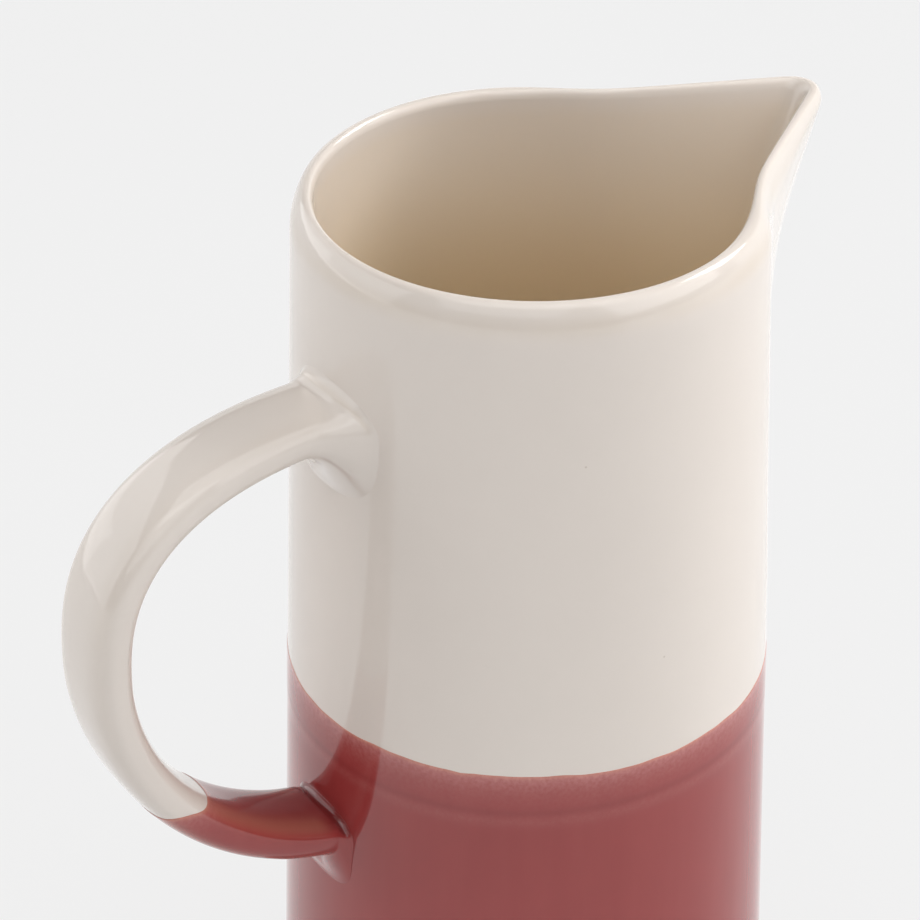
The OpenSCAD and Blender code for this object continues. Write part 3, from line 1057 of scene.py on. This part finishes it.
# %% [markdown]
# ## Colours and nodes
# The colours are written as sRGB hex values, as a paint chart gives them, and one function turns them
# into the linear numbers that Blender wants. One helper adds a node with its settings and links. The
# size of a pattern is given in millimetres and turned into the scale of a texture.

# %% Colour and node helpers


def linear(hex_colour):
    """Linear RGBA from an sRGB hex colour."""
    parts = [int(hex_colour[k:k + 2], 16) / 255 for k in (1, 3, 5)]
    return [c / 12.92 if c <= 0.04045 else ((c + 0.055) / 1.055) ** 2.4 for c in parts] + [1.0]


def add(tree, kind, values=None, links=None, **settings):
    """Adds a node, applies its settings and socket values, and links its inputs."""
    node = tree.nodes.new(kind)
    for name, value in settings.items():
        setattr(node, name, value)
    for socket, value in (values or {}).items():
        node.inputs[socket].default_value = value
    for socket, source in (links or {}).items():
        tree.links.new(source, node.inputs[socket])
    return node


def new_material(name):
    """An empty material with its output node."""
    material = bpy.data.materials.new(name)
    material.use_nodes = True
    material.node_tree.nodes.clear()
    output = add(material.node_tree, "ShaderNodeOutputMaterial")
    return material, material.node_tree, output


def per_metre(size_mm):
    """Texture scale at which a pattern repeats about once in a size in millimetres."""
    return 1 / (size_mm * MM)


print("cream in linear light:", [round(c, 3) for c in linear("#E2D9D1")[:3]])

# %% [markdown]
# ## Fired surfaces
# Two things are shared by the finishes. Specks, of iron in the glaze or of grog in the clay, are the
# middles of Voronoi cells, of which only some are used. And both glazes are glass that was once liquid:
# their IOR is a little above 1.5, and their gloss is very slightly rippled.

# %% Specks and fired gloss
GLAZE_IOR = 1.53
# A fired gloss ripples every five millimetres or so, by a few thousandths of a millimetre
ripple_mm = 5.0
ripple_height_mm = 0.008


def specks(tree, place, cell_mm, size_mm, share):
    """1 inside small round specks, of which only a share of the cells holds one."""
    cells = add(tree, "ShaderNodeTexVoronoi", {"Scale": per_metre(cell_mm)}, {"Vector": place})
    edge = size_mm / cell_mm
    dot = add(tree, "ShaderNodeMapRange", {"From Min": edge, "From Max": edge / 2},
              {"Value": cells.outputs["Distance"]})
    pick = add(tree, "ShaderNodeSeparateColor", None, {"Color": cells.outputs["Color"]})
    held = add(tree, "ShaderNodeMath", {1: share}, {0: pick.outputs["Red"]}, operation="LESS_THAN")
    return add(tree, "ShaderNodeMath", None, {0: dot.outputs["Result"], 1: held.outputs["Value"]},
               operation="MULTIPLY").outputs["Value"]


def fired_gloss(tree, output, place, colour, roughness):
    """Ends a glaze's nodes with a rippled gloss over its colour."""
    ripple = add(tree, "ShaderNodeTexNoise", {"Scale": per_metre(ripple_mm), "Detail": 1.0},
                 {"Vector": place})
    bump = add(tree, "ShaderNodeBump", {"Strength": 1.0, "Distance": ripple_height_mm * MM},
               {"Height": ripple.outputs["Fac"]})
    shader = add(tree, "ShaderNodeBsdfPrincipled", {"IOR": GLAZE_IOR},
                 {"Base Color": colour, "Roughness": roughness, "Normal": bump.outputs["Normal"]})
    tree.links.new(shader.outputs["BSDF"], output.inputs["Surface"])


print("the gloss ripples by %.3f mm every %.0f mm" % (ripple_height_mm, ripple_mm))

# %% [markdown]
# ## Cream glaze
# A clear glaze with a little tin and titanium, fired glossy over pale clay. To the eye it is a soft warm
# white with slow clouds, a few iron specks and a mirror gloss. It is browner where it is thin, and the
# same brown is painted as shade on the lip's roll and in the handle's creases. The thicker liner inside
# the jug is a warm buff, painted darker as shade the deeper it lies. The colours are laid over one
# another as glazes are, each by its own share.

# %% Make the cream glaze
# Sockets of a colour mix: its two colours and its result
MIX_A, MIX_B, MIX_OUT = 6, 7, 2
# Nearly all of a noise lies between these two values
NOISE_LOW, NOISE_HIGH = 0.3, 0.7
cloud_mm = 28.0
mottle_mm = 2.2
speck_cell_mm = 8.0
# Iron specks are about a quarter of a millimetre, drawn a little larger so that they show
speck_mm = 0.32
speck_share = 0.25
speck_strength = 0.3
# Share of the brown tint where the glaze is thin, which also paints shade on the lip's roll and creases
brown_least, brown_most = 0.08, 0.24
cream_roughness = {"To Min": 0.05, "To Max": 0.10}


def cream_glaze_finish():
    """Glossy cream glaze with clouds, a warm liner, thin brown edges, painted shade and specks."""
    material, tree, output = new_material("cream_glaze_on_stoneware")
    place = add(tree, "ShaderNodeTexCoord").outputs["Object"]
    clouds = add(tree, "ShaderNodeTexNoise", {"Scale": per_metre(cloud_mm), "Detail": 3.0},
                 {"Vector": place}).outputs["Fac"]
    mottle = add(tree, "ShaderNodeTexNoise", {"Scale": per_metre(mottle_mm), "Detail": 2.0},
                 {"Vector": place}).outputs["Fac"]
    # Both shares also paint shade: the liner's deep inside, the thin glaze's on the lip's roll and in
    # creases
    liner_and_shade, thin = [add(tree, "ShaderNodeAttribute", attribute_name=name).outputs["Fac"]
                   for name in ("liner_and_shade", "thin_glaze_and_shade")]
    patchy = add(tree, "ShaderNodeMapRange", {"From Min": NOISE_LOW, "From Max": NOISE_HIGH,
                                              "To Min": brown_least, "To Max": brown_most},
                 {"Value": clouds}).outputs["Result"]
    browning_and_shade = add(tree, "ShaderNodeMath", None, {0: thin, 1: patchy}, operation="MULTIPLY")
    dots = specks(tree, place, speck_cell_mm, speck_mm, speck_share)
    faint = add(tree, "ShaderNodeMath", {1: speck_strength}, {0: dots}, operation="MULTIPLY")
    colour = add(tree, "ShaderNodeMix", {MIX_A: linear("#E2D9D1"), MIX_B: linear("#DDD4CC")},
                 {"Factor": clouds}, data_type="RGBA").outputs[MIX_OUT]
    # The buff and the brown tints also carry painted shade, deep inside and on the lip's roll and creases
    for share, tint in ((liner_and_shade, "#DBC4A0"), (browning_and_shade.outputs["Value"], "#BFA988"),
                        (faint.outputs["Value"], "#8F7A5E")):
        colour = add(tree, "ShaderNodeMix", {MIX_B: linear(tint)}, {"Factor": share, MIX_A: colour},
                     data_type="RGBA").outputs[MIX_OUT]
    gloss = add(tree, "ShaderNodeMapRange", cream_roughness, {"Value": mottle})
    fired_gloss(tree, output, place, colour, gloss.outputs["Result"])
    return material


cream_finish = cream_glaze_finish()
print("cream glaze: clouds %.0f mm, mottle %.1f mm, specks %.2f mm" % (cloud_mm, mottle_mm, speck_mm))

# %% [markdown]
# ## Red glaze
# An iron and tin red, dipped over the clay and over the cream. Over clay it is a deep brownish red with
# faint runs down the wall. Over the cream it is paler and finely sugared, with crystals of tin and a faint
# painted highlight on a ridge. The furrow, the crease and the upward face of the handle's lower arm are
# painted darker as shade, and at its very edge it is thin and lets the cream through.

# %% Make the red glaze
pool_mm = 16.0
run_mm = 5.0
# Runs are drawn out to about eight times their width down the wall
run_stretch = 0.12
run_tones = {"From Min": 0.35, "From Max": 0.75, "To Max": 0.12}
# Crystals are finer than this, and are drawn as coarse as they need to show
sugar_mm = 0.9
sugar_least, sugar_most = 0.30, 0.56
# How strongly the painted shade darkens the red
painted_shade_strength = 0.75
thin_edge_strength = 0.5
red_roughness = {"To Min": 0.05, "To Max": 0.11}


def red_glaze_finish():
    """Glossy red glaze with runs, a paler sugared lap, painted shade and highlight, and a thin edge."""
    material, tree, output = new_material("red_dip_glaze")
    place = add(tree, "ShaderNodeTexCoord").outputs["Object"]
    pools = add(tree, "ShaderNodeTexNoise", {"Scale": per_metre(pool_mm), "Detail": 3.0},
                {"Vector": place}).outputs["Fac"]
    downward = add(tree, "ShaderNodeMapping", {"Scale": (1, 1, run_stretch)}, {"Vector": place})
    runs = add(tree, "ShaderNodeTexNoise", {"Scale": per_metre(run_mm), "Detail": 2.0},
               {"Vector": downward.outputs["Vector"]}).outputs["Fac"]
    sugar = add(tree, "ShaderNodeTexNoise", {"Scale": per_metre(sugar_mm), "Detail": 2.0},
                {"Vector": place}).outputs["Fac"]
    lap, painted_shade, thin = [add(tree, "ShaderNodeAttribute", attribute_name=name).outputs["Fac"]
                         for name in ("lap", "painted_shade", "thin_edge")]
    streaks = add(tree, "ShaderNodeMapRange", run_tones, {"Value": runs})
    sugared = add(tree, "ShaderNodeMapRange", {"From Min": NOISE_LOW, "From Max": NOISE_HIGH,
                                               "To Min": sugar_least, "To Max": sugar_most},
                  {"Value": sugar}).outputs["Result"]
    lapped = add(tree, "ShaderNodeMath", None, {0: lap, 1: sugared}, operation="MULTIPLY")
    # Painted shade in the furrow, the crease and on the upward face of the lower arm
    shade_darkening = add(tree, "ShaderNodeMath", {1: painted_shade_strength}, {0: painted_shade}, operation="MULTIPLY")
    clear = add(tree, "ShaderNodeMath", {1: thin_edge_strength}, {0: thin}, operation="MULTIPLY")
    colour = add(tree, "ShaderNodeMix", {MIX_A: linear("#903534"), MIX_B: linear("#963938")},
                 {"Factor": pools}, data_type="RGBA").outputs[MIX_OUT]
    # The pale lap tint also paints a highlight on a ridge, and the dark tint is painted shade
    for share, tint in ((streaks.outputs["Result"], "#A8504C"), (lapped.outputs["Value"], "#E8ACA7"),
                        (shade_darkening.outputs["Value"], "#551A1C"), (clear.outputs["Value"], "#C98A72")):
        colour = add(tree, "ShaderNodeMix", {MIX_B: linear(tint)}, {"Factor": share, MIX_A: colour},
                     data_type="RGBA").outputs[MIX_OUT]
    gloss = add(tree, "ShaderNodeMapRange", red_roughness, {"Value": sugar})
    fired_gloss(tree, output, place, colour, gloss.outputs["Result"])
    return material


red_finish = red_glaze_finish()
print("red glaze: runs %.0f mm apart, sugar %.1f mm" % (run_mm, sugar_mm))

# %% [markdown]
# ## Bare stoneware
# The foot was wiped free of glaze so that the jug wouldn't stick to the kiln shelf. It is buff stoneware,
# fired hard but dry: matt, with darker grains of grog, fine pores and rings left by the sponge.

# %% Make the bare stoneware
STONEWARE_IOR = 1.5
tone_mm = 12.0
grog_cell_mm = 1.8
grog_mm = 0.35
grog_share = 0.4
grog_strength = 0.55
pore_mm = 0.5
# The sponge left a ring every five millimetres, which is 0.8 mm for each radian of the wave
sponge_radian_mm = 0.8
# A wave texture runs through 20 radians in each unit of its scale
WAVE_RADIANS = 20
sponge_share = 0.5
relief_mm = 0.06
relief_strength = 0.6
stoneware_roughness = {"To Min": 0.72, "To Max": 0.9}


def stoneware_finish():
    """Matt buff stoneware with grog, pores and faint turning rings."""
    material, tree, output = new_material("bare_stoneware")
    place = add(tree, "ShaderNodeTexCoord").outputs["Object"]
    tone = add(tree, "ShaderNodeTexNoise", {"Scale": per_metre(tone_mm), "Detail": 4.0},
               {"Vector": place}).outputs["Fac"]
    pores = add(tree, "ShaderNodeTexNoise", {"Scale": per_metre(pore_mm), "Detail": 3.0},
                {"Vector": place}).outputs["Fac"]
    rings = add(tree, "ShaderNodeTexWave",
                {"Scale": per_metre(sponge_radian_mm) / WAVE_RADIANS, "Distortion": 0.6},
                {"Vector": place}, wave_type="RINGS", rings_direction="Z").outputs["Fac"]
    grains = specks(tree, place, grog_cell_mm, grog_mm, grog_share)
    soft = add(tree, "ShaderNodeMath", {1: grog_strength}, {0: grains}, operation="MULTIPLY")
    buff = add(tree, "ShaderNodeMix", {MIX_A: linear("#D3BF9F"), MIX_B: linear("#C2AB88")},
               {"Factor": tone}, data_type="RGBA").outputs[MIX_OUT]
    colour = add(tree, "ShaderNodeMix", {MIX_B: linear("#8A6E4C")},
                 {"Factor": soft.outputs["Value"], MIX_A: buff}, data_type="RGBA").outputs[MIX_OUT]
    dry = add(tree, "ShaderNodeMapRange", stoneware_roughness, {"Value": pores}).outputs["Result"]
    relief = add(tree, "ShaderNodeMath", {1: sponge_share}, {0: rings, 2: pores},
                 operation="MULTIPLY_ADD")
    bump = add(tree, "ShaderNodeBump", {"Strength": relief_strength, "Distance": relief_mm * MM},
               {"Height": relief.outputs["Value"]})
    shader = add(tree, "ShaderNodeBsdfPrincipled", {"IOR": STONEWARE_IOR},
                 {"Base Color": colour, "Roughness": dry, "Normal": bump.outputs["Normal"]})
    tree.links.new(shader.outputs["BSDF"], output.inputs["Surface"])
    return material


stoneware = stoneware_finish()
print("stoneware: grog %.2f mm" % grog_mm)

# %% [markdown]
# ## What each piece stands for
# Each row gives a mesh, its finish, the slot of that finish and the solids of the frame that it stands
# for. The mesh gets its finish and rides on the jug's only body, and those solids are hidden.

# %% Hand the pieces to the frame
pieces = [
    (clay_body, stoneware, "bare_clay", ["clay_body"]),
    (strap, stoneware, "bare_clay", ["handle"]),
    (upper_slip, stoneware, "bare_clay", ["upper_slip_joint"]),
    (lower_slip, stoneware, "bare_clay", ["lower_slip_joint"]),
    (cream_coat, cream_finish, "cream_glaze", ["cream_glaze", "liner_glaze"]),
    (red_coat, red_finish, "red_glaze", ["red_glaze"]),
    (handle_cream, cream_finish, "cream_glaze", ["handle_cream_glaze"]),
    (handle_red, red_finish, "red_glaze", ["handle_red_glaze"]),
]
for piece, finish, slot, nodes in pieces:
    piece.data.materials.append(finish)
    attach(piece, "root")
    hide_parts(*nodes)
print("pieces:", ", ".join(piece.name for piece, finish, slot, nodes in pieces))

# %% [markdown]
# ## The floor and a low screen
# The jug stands on a wide pale table with a low pale screen behind it. A glossy pot shows its
# surroundings: table and screen give the veil of white on its walls, and the dark above them is why its
# upward faces look deeper. A floor that is lit only by lamps is uneven, so most of what the camera and
# reflections see of it is an even tone of its own, and the rest keeps the jug's shadow.

# %% Lay the floor and set up the screen
floor_radius = 4.0
floor_sides = 96
floor_tone = "#F1F1F1"
floor_diffuse = "#E6E6E6"
# Share of its own even tone that the floor shows to the camera and to reflections
floor_evenness = 0.9
# A glossy face sees the floor as white, a little above the tone that the camera is shown
mirrored_gain = 0.12
backdrop_distance = 1.7
backdrop_height = 0.75
backdrop_turns = np.radians(np.linspace(-25, 125, 40))


def pale_floor_finish():
    """A pale floor that keeps a shadow but looks even to the camera and in reflections."""
    material, tree, output = new_material("pale_studio_floor")
    rays = add(tree, "ShaderNodeLightPath").outputs
    seen = rays["Is Camera Ray"]
    for kind in ("Is Glossy Ray", "Is Transmission Ray"):
        seen = add(tree, "ShaderNodeMath", None, {0: seen, 1: rays[kind]},
                   operation="MAXIMUM").outputs["Value"]
    even = add(tree, "ShaderNodeMath", {1: floor_evenness}, {0: seen}, operation="MULTIPLY")
    matt = add(tree, "ShaderNodeBsdfDiffuse", {"Color": linear(floor_diffuse)})
    gain = add(tree, "ShaderNodeMath", {1: mirrored_gain, 2: 1.0}, {0: rays["Is Glossy Ray"]},
               operation="MULTIPLY_ADD")
    glow = add(tree, "ShaderNodeEmission", {"Color": linear(floor_tone)},
               {"Strength": gain.outputs["Value"]})
    surface = add(tree, "ShaderNodeMixShader", None,
                  {"Fac": even.outputs["Value"], 1: matt.outputs["BSDF"], 2: glow.outputs["Emission"]})
    tree.links.new(surface.outputs["Shader"], output.inputs["Surface"])
    return material


def stage_piece(name, points, faces, finish):
    """A plain sheet of the studio, which isn't part of the jug."""
    mesh = bpy.data.meshes.new(name)
    mesh.from_pydata(points, [], faces)
    mesh.materials.append(finish)
    sheet = bpy.data.objects.new(name, mesh)
    bpy.context.scene.collection.objects.link(sheet)


pale = pale_floor_finish()
floor_turns = np.linspace(0, 2 * np.pi, floor_sides, endpoint=False)
floor_points = [(floor_radius * math.cos(t), floor_radius * math.sin(t), 0) for t in floor_turns]
stage_piece("floor", floor_points, [tuple(range(floor_sides))], pale)
backdrop_points = [(backdrop_distance * math.cos(t), backdrop_distance * math.sin(t), z)
                   for t in backdrop_turns for z in (0, backdrop_height)]
backdrop_faces = [(2 * k, 2 * k + 2, 2 * k + 3, 2 * k + 1) for k in range(len(backdrop_turns) - 1)]
stage_piece("backdrop", backdrop_points, backdrop_faces, pale)
print("the floor is %.0f m across and the backdrop %.2f m high" % (2 * floor_radius, backdrop_height))

# %% [markdown]
# ## Light
# The studio is dim, and five softboxes light the jug. A small bright one beyond the spout makes the
# highlights on the lip. A broad one at the right and one at the left draw long soft streaks on the
# walls, one overhead lights the upward faces, and one beside the camera fills the shadows. Each is set
# by its radiance, which is how bright it looks in a reflection, and its power follows from its size.

# %% Set the lamps and the world
studio_grey = 0.04
# The lamps face a point at this share of the jug's height
lamp_aim = 0.7
# Turn and elevation in degrees, distance, width and depth in metres, and radiance
lamps = {
    "key_softbox": (-17, 39, 1.3, 0.5, 0.65, 10.2),
    "window_right": (-65, 30, 1.4, 1.5, 1.1, 1.6),
    "overhead_softbox": (235, 72, 1.6, 1.7, 1.3, 1.5),
    "fill_softbox": (215, 40, 1.6, 1.6, 1.2, 1.1),
    "panel_left": (126, 20, 1.3, 2.2, 1.1, 1.35),
}


def soft_lamp(name, turn, elevation, distance, width, depth, radiance):
    """A rectangular softbox that faces the jug, as bright as its radiance says."""
    data = bpy.data.lights.new(name, "AREA")
    data.shape = "RECTANGLE"
    data.size = width
    data.size_y = depth
    data.energy = radiance * math.pi * width * depth
    lamp = bpy.data.objects.new(name, data)
    bpy.context.scene.collection.objects.link(lamp)
    turn = math.radians(turn)
    elevation = math.radians(elevation)
    aim = Vector((0, 0, height * MM * lamp_aim))
    ground = math.cos(elevation)
    way = Vector((math.cos(turn) * ground, math.sin(turn) * ground, math.sin(elevation)))
    lamp.location = aim + way * distance
    lamp.rotation_euler = way.to_track_quat("Z", "Y").to_euler()
    print("%s: %.1f W" % (name, data.energy))


for name, settings in lamps.items():
    soft_lamp(name, *settings)

world = bpy.data.worlds.new("studio")
world.use_nodes = True
background = world.node_tree.nodes["Background"]
background.inputs["Color"].default_value = (1, 1, 1, 1)
background.inputs["Strength"].default_value = studio_grey
bpy.context.scene.world = world
bpy.context.scene.view_settings.view_transform = "Standard"
print("the studio's own light is", studio_grey)
